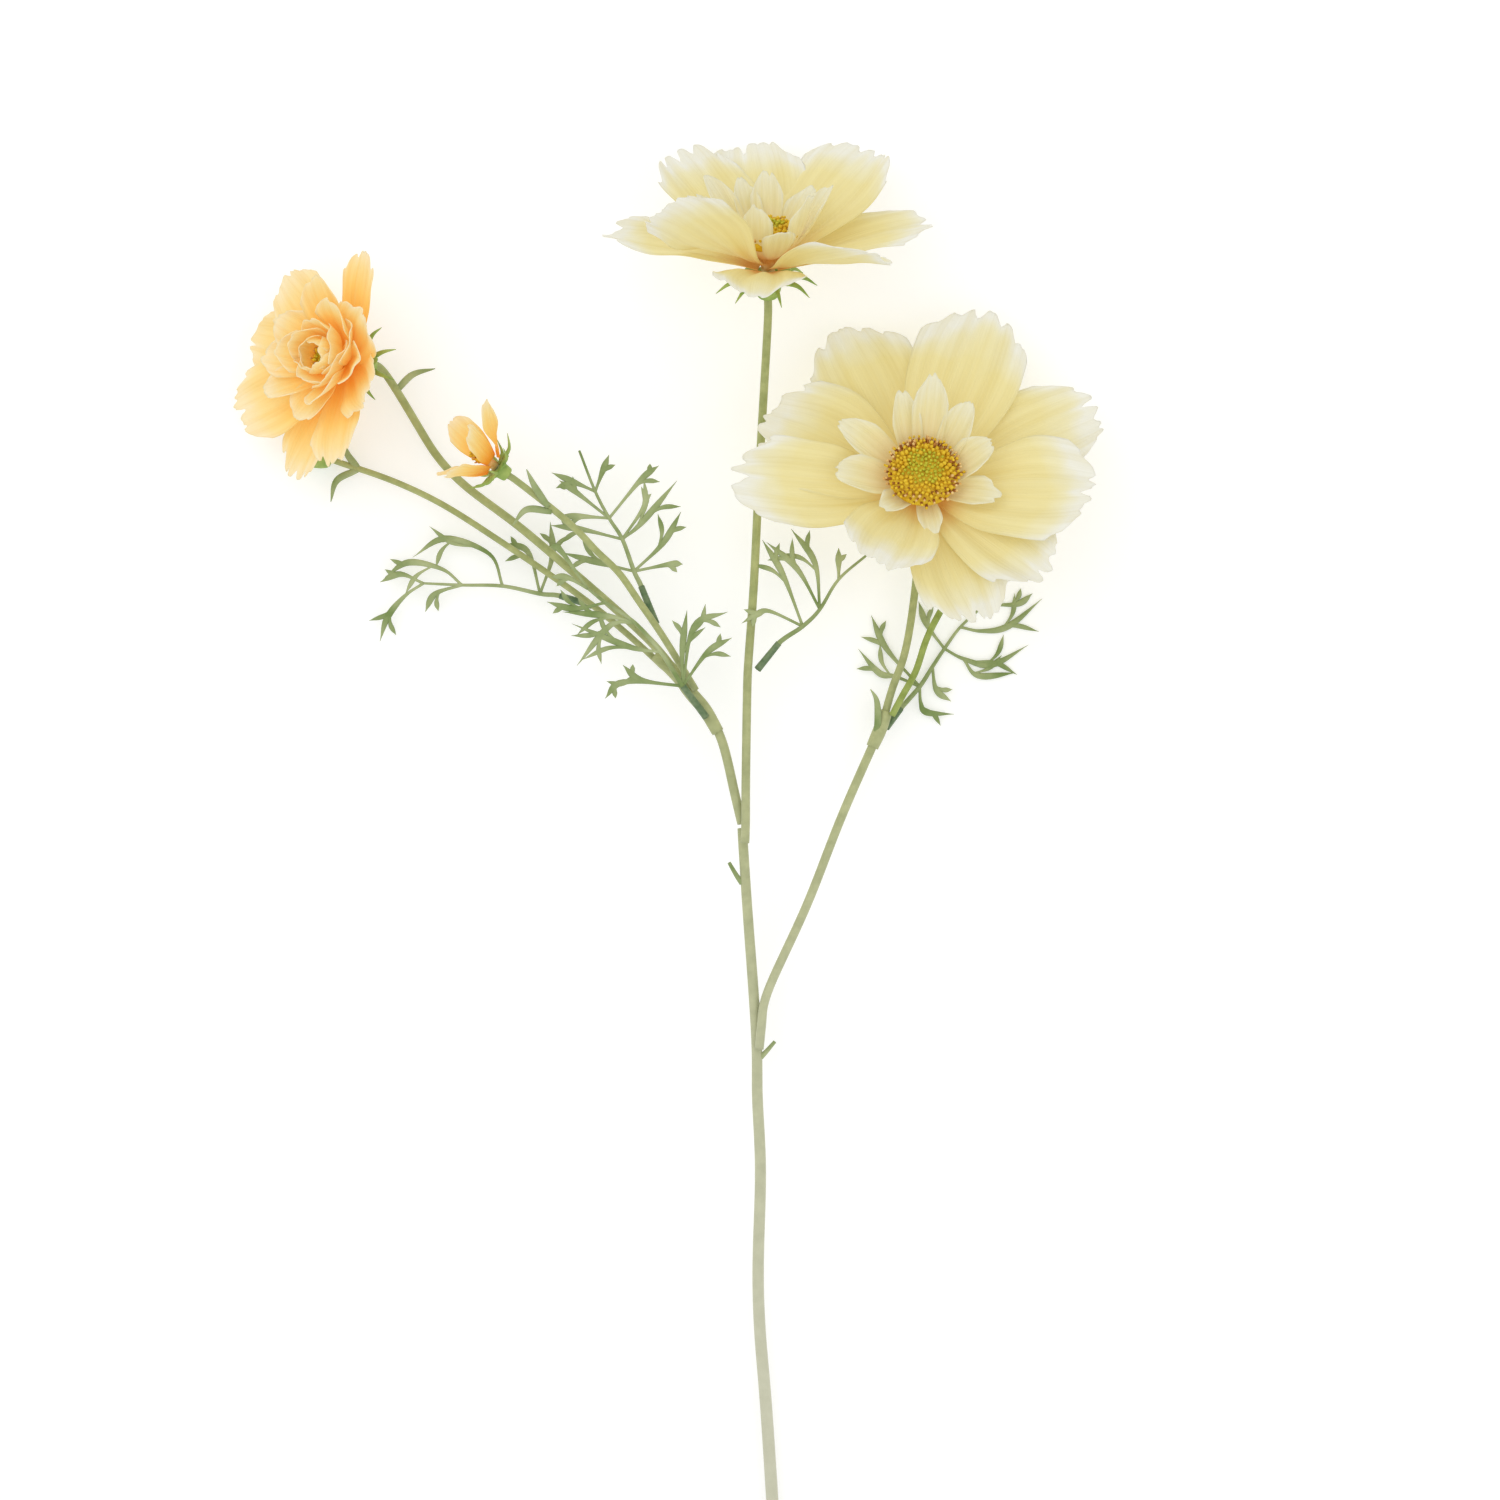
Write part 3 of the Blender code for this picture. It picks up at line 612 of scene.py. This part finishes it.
def makePetals(bloom, seed):
    fabric, slotName = bloomFinish[bloom]
    frameMatrix = headMatrix(bloom)
    style = smallPetalStyle if bloom == "small_flower" else petalStyle
    for number, spec in enumerate(bloomPetals[bloom], 1):
        azimuth, length, halfWidth, angles, layer, bend, roll = spec
        bm = bmesh.new()
        petal = (azimuth, length, halfWidth, angles, layer * layerStep, bend, roll)
        addPetal(bm, frameMatrix, petal, style, seed + number)
        name = f"{bloom}_petal_{number}"
        piece = finishPiece(name + "_cloth", bm, (fabric,), (name,))
        thicken(piece, style["wall"])


for seed, bloom in enumerate(bloomPetals):
    makePetals(bloom, 100 * seed + 11)
print("petals cut")


# rings of small petals round each centre: azimuth, length, half width, extra opening

ringStyle = {
    **petalStyle,
    "across": 16,
    "along": 24,
    "cup": 0.34,
    "shoulder": 0.28,
    "claw": 1.6,
    "pleats": 2.0,
    "pleatDepth": 0.9,
    "ruffle": 0.8,
    "tipWave": 0.8,
    "teeth": 2,
    "toothDepth": 0.06,
    "widest": 0.7,
    "tipNarrowing": 0.35,
}
rings = {
    "right_bloom_inner_ring": {
        "bloom": "right_bloom", "fabric": "creamFabric", "base": 5.4, "angles": (73, 51, 60), "seed": 501,
        "petals": (
            (84, 31, 5.0, -10), (110, 26, 4.2, -6), (148, 28, 5.0, 4), (186, 27, 6.0, 6), (226, 19, 4.0, 4),
            (276, 18, 3.4, 14), (338, 22, 4.8, 6), (15, 23, 5.6, 0), (50, 26, 4.6, -8),
        ),
    },
    "top_bloom_inner_ring": {
        "bloom": "top_bloom", "fabric": "creamFabric", "base": 3.8, "angles": (72, 42, 46), "seed": 521,
        "petals": (
            (140, 27, 4.6, 0), (115, 25, 4.0, -4), (92, 27, 4.6, 0), (55, 24, 4.2, 0), (16, 25, 5.0, -8),
            (-28, 24, 5.0, -22), (-70, 19, 4.8, -6), (-112, 22, 4.4, -22), (180, 26, 4.6, -8),
        ),
    },
    "left_bloom_middle_ring": {
        "bloom": "left_bloom", "fabric": "goldenFabric", "base": 4.4, "angles": (66, 50, 52), "seed": 541,
        "mess": 1.0,  # how unruly the petals sit
        "petals": tuple((40 * k + 12, 23, 6.4, 0) for k in range(9)),
    },
    "left_bloom_inner_ring": {
        "bloom": "left_bloom", "fabric": "goldenFabric", "base": 6.0, "angles": (56, 24, 6), "seed": 561,
        "mess": 1.3,  # how unruly the petals sit
        "petals": tuple((45 * k + 30, 15, 6.0, 0) for k in range(8)),
    },
    "left_bloom_heart": {
        "bloom": "left_bloom", "fabric": "goldenFabric", "base": 9.4, "angles": (44, 4, -50), "seed": 581,
        "mess": 0.8,  # how unruly the petals sit
        "petals": tuple((60 * k + 8, 9.5, 4.6, 0) for k in range(6)),
    },
}


def makeRing(name, ring):
    bm = bmesh.new()
    frameMatrix = headMatrix(ring["bloom"])
    rnd = random.Random(ring["seed"])
    mess = ring.get("mess", 0.0)
    for number, (azimuth, length, halfWidth, lean) in enumerate(ring["petals"]):
        tilt = rnd.uniform(-4, 4) * (1 + 2 * mess)
        azimuth += rnd.uniform(-9, 9) * mess
        length *= 1 + rnd.uniform(-0.16, 0.06) * mess
        roll = rnd.uniform(-22, 22) * mess
        angles = tuple(angle + (lean + tilt) * k / 2 for k, angle in enumerate(ring["angles"], 1))
        length *= rnd.uniform(0.94, 1.04)
        spec = (azimuth, length, halfWidth, angles, ring["base"], rnd.uniform(-0.06, 0.06), roll)
        addPetal(bm, frameMatrix, spec, ringStyle, ring["seed"] + number)
    nodes = (name,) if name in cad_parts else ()  # the heart has no solid of its own
    piece = finishPiece(name + "_cloth", bm, (ring["fabric"],), nodes)
    thicken(piece, ringStyle["wall"])


for name, ring in rings.items():
    makeRing(name, ring)
print("inner rings cut")


# centres: a dome covered with florets, green in the middle, yellow round it and rusty at the rim

centres = {
    "right_bloom": {"radius": 10.5, "rim": 11.4, "dome": 4.6, "florets": 240, "seed": 21},
    "top_bloom": {"radius": 8.5, "rim": 9.6, "dome": 4.2, "florets": 160, "seed": 22},
    "left_bloom": {"radius": 4.2, "rim": 9.4, "dome": 3.0, "florets": 60, "seed": 23},
    "small_flower": {"radius": 2.2, "rim": 4.2, "dome": 3.4, "florets": 34, "seed": 24},
}
goldenTurn = math.radians(137.508)
floretKeys = ("floretGreen", "floretYellow", "floretRust", "antherTip")
green, yellow, rust, anther = range(4)


def addBead(bm, spot, axis, size, stretch, material):
    turn = axis.to_track_quat("Z", "Y").to_matrix().to_4x4()
    scale = Matrix.Diagonal((size * mm, size * mm, size * stretch * mm, 1))
    shape = Matrix.Translation(spot) @ turn @ scale
    made = bmesh.ops.create_icosphere(bm, subdivisions=1, radius=1, matrix=shape)["verts"]
    for face in {face for vert in made for face in vert.link_faces}:
        face.material_index = material


def makeCentre(bloom, centre):
    frameMatrix = headMatrix(bloom)
    radius, rim, dome = centre["radius"], centre["rim"], centre["dome"]
    rnd = random.Random(centre["seed"])
    bm = bmesh.new()
    core = bmesh.ops.create_uvsphere(bm, u_segments=32, v_segments=16, radius=1)["verts"]
    for vert in core:
        x, y, z = vert.co
        height = rim + (dome - 0.4) * z if z > 0 else rim + 0.42 * radius * z
        vert.co = place(frameMatrix @ Vector((0.94 * radius * x, 0.94 * radius * y, height)))
    neck = bmesh.ops.create_cone(bm, cap_ends=True, segments=16, radius1=1, radius2=1, depth=1)["verts"]
    neckRadius = min(2.0, 0.6 * radius)
    for vert in neck:
        height = -0.6 if vert.co.z < 0 else rim - 0.2 * radius
        vert.co = place(frameMatrix @ Vector((neckRadius * vert.co.x, neckRadius * vert.co.y, height)))
    for face in bm.faces:
        face.material_index = yellow
    for face in {face for vert in neck for face in vert.link_faces}:
        face.material_index = anther
    count = centre["florets"]
    unit = 1.05 * radius / math.sqrt(count)
    for k in range(count):
        share = math.sqrt((k + 0.5) / count)
        turn = k * goldenTurn
        out = radius * share * rnd.uniform(0.97, 1.02)
        height = rim + dome * math.sqrt(max(1 - share * share, 0.0)) + rnd.uniform(-0.3, 0.6)
        spot = frameMatrix @ Vector((out * math.cos(turn), out * math.sin(turn), height))
        lean = Vector((share * math.cos(turn), share * math.sin(turn), 1.1 - 0.5 * share))
        lean += Vector((rnd.uniform(-0.3, 0.3), rnd.uniform(-0.3, 0.3), 0))
        axis = (frameMatrix.to_3x3() @ lean).normalized()
        mood = share + rnd.uniform(-0.12, 0.12)
        if mood < 0.5:
            addBead(bm, place(spot), axis, unit * rnd.uniform(0.55, 0.85), rnd.uniform(1.0, 1.5), green)
        elif mood < 0.8:
            addBead(bm, place(spot), axis, unit * rnd.uniform(0.7, 1.05), rnd.uniform(1.1, 1.8), yellow)
        else:
            addBead(bm, place(spot), axis, unit * rnd.uniform(0.5, 0.72), rnd.uniform(1.8, 2.6), rust)
            tip = place(spot + axis * unit * rnd.uniform(1.0, 1.7))
            addBead(bm, tip, axis, unit * rnd.uniform(0.5, 0.75), 1.1, rnd.choice((anther, yellow, yellow)))
    finishPiece(bloom + "_centre_florets", bm, floretKeys, (bloom + "_centre",))


for bloom, centre in centres.items():
    makeCentre(bloom, centre)
print("centres filled")


# stems, calyxes and buds take the CAD shape, rounded

endAngle = 1.2  # radians: a cut end is sharper than the sides of a tube
solidWeld = 2e-6  # metres
roundLevels = 2
stemSwell = 0.16  # these make up for what rounding takes off
calyxSwell = 0.05
budSwell = 0.1


def roundedCopy(node, key, swell, keepEnds=False):
    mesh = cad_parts[node].data.copy()
    mesh.materials.clear()
    bm = bmesh.new()
    bm.from_mesh(mesh)
    bmesh.ops.remove_doubles(bm, verts=bm.verts, dist=solidWeld)
    bmesh.ops.join_triangles(bm, faces=bm.faces, angle_face_threshold=0.7, angle_shape_threshold=0.9)
    if keepEnds:
        crease = bm.edges.layers.float.new("crease_edge")
        for edge in bm.edges:
            if edge.calc_face_angle(0) > endAngle:
                edge[crease] = 1.0
    piece = finishPiece(node + "_smooth", bm, (key,), (node,))
    rounding = piece.modifiers.new("round", "SUBSURF")
    rounding.levels = roundLevels
    rounding.render_levels = roundLevels
    grow = piece.modifiers.new("grow", "DISPLACE")
    grow.strength = swell * mm
    grow.mid_level = 0.0


stemFinish = {
    "main_stem": "stemFlock",
    "left_branch": "stemFlock",
    "top_branch": "stemFlock",
    "right_branch": "stemFlock",
    "right_bloom_stalk": "stemFlock",
    "right_bud_stalk": "oliveStalk",
    "left_bloom_stalk": "stemFlock",
    "small_flower_stalk": "stemFlock",
    "left_bud_stalk": "stemFlock",
}
for node, key in stemFinish.items():
    roundedCopy(node, key, stemSwell, keepEnds=True)
for head in heads:
    roundedCopy(head + "_calyx", "calyxGreen", calyxSwell)
for node in ("left_bud_petals", "right_bud_petals"):
    roundedCopy(node, "calyxGreen", budSwell)
print("stems rounded")


# bracts and pegs on the stalks, and sheaths over the forks where the stalks plug in

bracts = (
    ((35.6, 214.6, 8.2), (36.0, 219.0, 9.4), (35.6, 224.0, 10.0), (33.9, 227.1, 10.6)),
    ((-99.7, 311.0, 8.0), (-94.9, 315.6, 9.6), (-88.5, 317.2, 11.5)),
    ((-56.3, 277.8, 25.2), (-60.0, 283.4, 26.0), (-62.4, 288.4, 26.8)),
    ((-55.4, 276.6, 24.8), (-62.4, 277.2, 24.0), (-66.4, 272.8, 23.0)),
    ((-110.5, 289.6, 6.6), (-113.2, 293.0, 7.2), (-114.5, 296.8, 8.0)),
    ((-110.5, 289.0, 6.3), (-116.5, 285.9, 5.6), (-118.2, 280.0, 4.4)),
)
pegs = (
    ((-2.2, 172.6, 12.4), (-3.8, 174.8, 12.8), (-5.9, 178.4, 13.2)),
    ((3.0, 123.6, 9.0), (4.6, 125.2, 9.4), (7.0, 128.0, 9.8)),
)
sheaths = (
    ((-9.0, 215.0, 16.3), (-12.6, 221.2, 16.8), (-16.8, 226.2, 17.0), (-20.0, 230.6, 16.9)),
    ((-18.6, 228.6, 16.9), (-22.0, 232.6, 16.6), (-26.6, 236.6, 16.0)),
    ((34.4, 210.8, 7.5), (36.6, 215.8, 7.4), (38.4, 221.0, 7.4)),
)


def bractWidth(s):
    return 0.95 * math.sin(math.pi * (0.28 + 0.7 * s)) + 0.06


def pegWidth(s):
    return 0.85 - 0.35 * s


def sheathWidth(s):
    return 1.75 + 0.2 * math.sin(math.pi * s)


def makeBracts():
    bm = bmesh.new()
    for points in bracts:
        addBlade(bm, points, bractWidth, 0.35)
    for points in pegs:
        addBlade(bm, points, pegWidth, 0.8)
    finishPiece("stalk_bracts", bm, ("leafSage",))
    bm = bmesh.new()
    for points in sheaths:
        addBlade(bm, points, sheathWidth, 1.6, around=12)
    finishPiece("fork_sheaths", bm, ("stemFlock",))


makeBracts()
print("bracts set")


# sepals: narrow green points that curve out of each calyx

sepals = {
    "right_bloom": {
        "count": 8, "half": 0.8,
        "route": ((2.2, -4.0), (6.5, -3.2), (10.5, -5.0), (13.0, -8.5)),
    },
    "top_bloom": {
        "count": 8, "half": 0.8,
        "route": ((2.2, -4.0), (6.5, -3.0), (11.0, -3.4), (15.0, -6.0)),
    },
    "left_bloom": {
        "count": 8, "half": 0.75,
        "route": ((2.2, -4.0), (6.0, -3.0), (10.0, -3.2), (13.0, -5.4)),
    },
    "small_flower": {
        "count": 8, "half": 0.6,
        "route": ((1.2, -2.4), (3.8, -1.0), (6.6, -0.4), (9.6, 2.4)),
    },
    "left_bud": {
        "count": 6, "half": 0.5,
        "route": ((1.0, -2.0), (3.2, -0.6), (4.6, 1.6), (6.0, 5.0)),
    },
    "right_bud": {
        "count": 6, "half": 0.5,
        "route": ((1.0, -2.0), (3.2, -0.6), (4.6, 1.6), (6.0, 5.0)),
    },
}


sepalHeight = 0.3


def makeSepals(name, look):
    def sepalWidth(s):
        return look["half"] * math.sin(math.pi * (0.3 + 0.68 * s)) + 0.04

    bm = bmesh.new()
    frameMatrix = headMatrix(name)
    rnd = random.Random(len(name))
    for k in range(look["count"]):
        turn = math.radians(360 * k / look["count"] + rnd.uniform(-8, 8) + 12)
        stretch = rnd.uniform(0.85, 1.08)
        points = [
            frameMatrix @ Vector((r * stretch * math.cos(turn), r * stretch * math.sin(turn), height))
            for r, height in look["route"]
        ]
        addBlade(bm, points, sepalWidth, sepalHeight, perSpan=6)
    finishPiece(name + "_sepals", bm, ("calyxGreen",))


for name, look in sepals.items():
    makeSepals(name, look)
print("sepals set")


# leaves: heights near the root, at the tip and how fast they change, the midrib, then the leaflets

leaves = {
    "left_leaf": {
        "heights": (9.2, 4.2, 2.0),
        "midrib": (
            (-44.4, 250.7), (-53.5, 253.4), (-59.1, 254.0), (-69.7, 256.2), (-81.2, 256.5), (-92.1, 257.0),
        ),
        "leaflets": (
            ((-92.1, 257.0), (-98.6, 259.6), (-104.4, 257.3)),
            ((-81.2, 256.5), (-86.8, 261.0), (-96.3, 262.9), (-103.0, 258.7)),
            ((-92.1, 257.0), (-97.4, 253.4), (-102.2, 247.5), (-104.4, 240.5)),
            ((-81.2, 256.5), (-88.8, 254.0), (-91.6, 248.9)),
            ((-69.7, 256.2), (-73.4, 265.2), (-86.0, 269.6), (-95.2, 264.3)),
            ((-59.1, 254.0), (-62.7, 266.0), (-70.3, 268.0)),
            ((-59.1, 254.0), (-55.7, 264.6), (-56.3, 274.4)),
        ),
    },
    "front_leaf": {
        "heights": (20.0, 24.4, 10.0),
        "midrib": (
            (-12.3, 219.2, 19.1), (-18.8, 227.9), (-24.9, 237.4), (-32.2, 245.6), (-40.3, 251.2), (-45.4, 255.1),
        ),
        "leaflets": (
            ((-18.8, 227.9), (-18.9, 238.0), (-17.6, 249.2)),
            ((-18.8, 227.9), (-15.7, 244.4), (-6.2, 248.6)),
            ((-18.8, 227.9), (-11.8, 237.4), (-5.0, 241.4)),
            ((-18.8, 227.9), (-30.5, 229.6), (-35.6, 233.8)),
            ((-18.8, 227.9), (-35.3, 229.0), (-40.6, 224.3)),
            ((-24.9, 237.4), (-33.6, 238.8), (-49.8, 245.3)),
            ((-32.2, 245.6), (-39.2, 244.7), (-48.4, 233.5)),
            ((-32.2, 245.6), (-40.0, 247.5), (-52.4, 248.6)),
            ((-40.3, 251.2), (-49.0, 249.5), (-56.8, 251.4)),
            ((-45.4, 255.1), (-51.0, 258.2), (-55.7, 258.4)),
            ((-45.4, 255.1), (-52.9, 265.7), (-56.0, 266.8)),
        ),
    },
    "upper_leaf": {
        "heights": (17.6, 16.4, 1.0),
        "midrib": (
            (-26.3, 245.3, 18.9), (-30.5, 255.9), (-32.5, 260.1), (-35.8, 269.1), (-39.5, 275.0), (-43.4, 282.5),
            (-47.9, 294.0),
        ),
        "leaflets": (
            ((-43.4, 282.5), (-41.4, 288.0), (-39.5, 292.9)),
            ((-43.4, 282.5), (-49.0, 285.0), (-55.7, 287.8)),
            ((-39.5, 275.0), (-49.0, 282.5), (-53.5, 285.6)),
            ((-39.5, 275.0), (-47.3, 275.5), (-54.3, 275.5)),
            ((-39.5, 275.0), (-30.5, 285.9), (-25.5, 289.8)),
            ((-35.8, 269.1), (-30.5, 273.6), (-20.4, 285.6)),
            ((-35.8, 269.1), (-29.4, 279.0), (-30.5, 283.9)),
            ((-32.5, 260.1), (-24.4, 268.0), (-19.3, 276.9)),
            ((-32.5, 260.1), (-22.4, 262.1), (-18.8, 262.1)),
            ((-35.8, 269.1), (-47.3, 271.9), (-56.0, 273.0)),
            ((-32.5, 260.1), (-42.0, 262.4), (-52.9, 265.4)),
        ),
    },
    "top_branch_leaf": {
        "heights": (17.4, 12.0, 0.6),
        "midrib": (
            (2.1, 232.6, 14.5), (8.1, 240.0), (14.8, 244.7), (19.6, 249.5), (24.9, 257.9), (33.3, 265.2),
        ),
        "leaflets": (
            ((14.8, 244.7), (5.6, 248.9), (2.0, 248.1), (-2.4, 245.5)),
            ((14.8, 244.7), (9.2, 259.3), (3.4, 269.1)),
            ((19.6, 249.5), (13.2, 260.9), (4.6, 268.4)),
            ((19.6, 249.5), (18.2, 262.6), (11.5, 272.2)),
            ((24.9, 257.9), (24.9, 266.8)),
        ),
    },
    "right_leaf": {
        "heights": (4.0, 0.75, 3.0),
        "midrib": (
            (38.3, 216.2, 5.3), (42.6, 221.8), (47.9, 227.9), (51.5, 233.5), (54.9, 238.6), (59.4, 244.7),
            (66.4, 251.2),
        ),
        "leaflets": (
            ((47.9, 227.9), (48.2, 223.2), (50.0, 220.6), (57.7, 220.1)),
            ((51.5, 233.5), (52.6, 227.0), (56.8, 223.7)),
            ((54.9, 238.6), (60.2, 235.8), (68.3, 234.1), (78.7, 239.7)),
            ((60.2, 235.8), (64.4, 231.0), (75.0, 231.8)),
            ((59.4, 244.7), (65.4, 243.6), (73.0, 245.0), (82.6, 252.8)),
            ((66.4, 251.2), (75.3, 251.2), (79.8, 254.2)),
            ((47.9, 227.9), (41.2, 230.7), (36.4, 231.8), (30.5, 238.6)),
            ((47.9, 227.9), (38.4, 238.8), (34.2, 248.1)),
            ((54.9, 238.6), (49.8, 245.6), (47.6, 252.0)),
        ),
    },
}
leafStyle = {
    "midrib": 0.7,
    "leaflet": 0.78,
    "thin": 0.28,
    "root": 0.4,
    "forks": ((9.0, 0.42, 0.8, 32.0), (16.0, 0.6, 0.75, -34.0)),  # longer than, where, share and turn
    "forkWidth": 0.75,
    "forkThin": 0.25,
}


def leafletWidth(s):
    return leafStyle["root"] * (1 - s) + leafStyle["leaflet"] * math.sin(math.pi * s**1.7) ** 1.5 + 0.04


def forkWidth(s):
    return leafStyle["forkWidth"] * leafletWidth(s)


def midribWidth(s):
    return leafStyle["midrib"] * (1.15 - 0.65 * s)


def rootPegWidth(s):
    return 1.05 - 0.15 * s


def forkOf(points, begin, share, turn):
    perSpan = 10
    start = smoothRoute(points, perSpan)[round(perSpan * (len(points) - 1) * begin)]
    reach = (points[-1] - start) * share
    turned = Matrix.Rotation(math.radians(turn), 3, "Z") @ reach
    return [start, start + reach * 0.22 + turned * 0.3, start + turned]


def makeLeaf(name, leaf):
    atRoot, atTip, rate = leaf["heights"]
    root = Vector(leaf["midrib"][0][:2])
    reach = max((Vector(point) - root).length for chain in leaf["leaflets"] for point in chain)

    def raised(chain):
        points = []
        for point in chain:
            share = min((Vector(point[:2]) - root).length / reach, 1)
            height = atTip + (atRoot - atTip) * (1 - share) ** rate
            points.append(Vector((*point, height)[:3]))
        return points

    bm = bmesh.new()
    midrib = raised(leaf["midrib"])
    addBlade(bm, midrib, midribWidth, 0.6)
    addBlade(bm, midrib[:2], rootPegWidth, 1.0, material=1)
    for number, chain in enumerate(leaf["leaflets"]):
        points = raised(chain)
        addBlade(bm, points, leafletWidth, leafStyle["thin"])
        side = 1 if number % 2 else -1
        for least, begin, share, turn in leafStyle["forks"]:
            if (points[-1] - points[0]).length > least:
                addBlade(bm, forkOf(points, begin, share, side * turn), forkWidth, leafStyle["forkThin"])
    finishPiece(name + "_blades", bm, ("leafSage", "pegGreen"), (name,))


for name, leaf in leaves.items():
    makeLeaf(name, leaf)
print("leaves shaped")
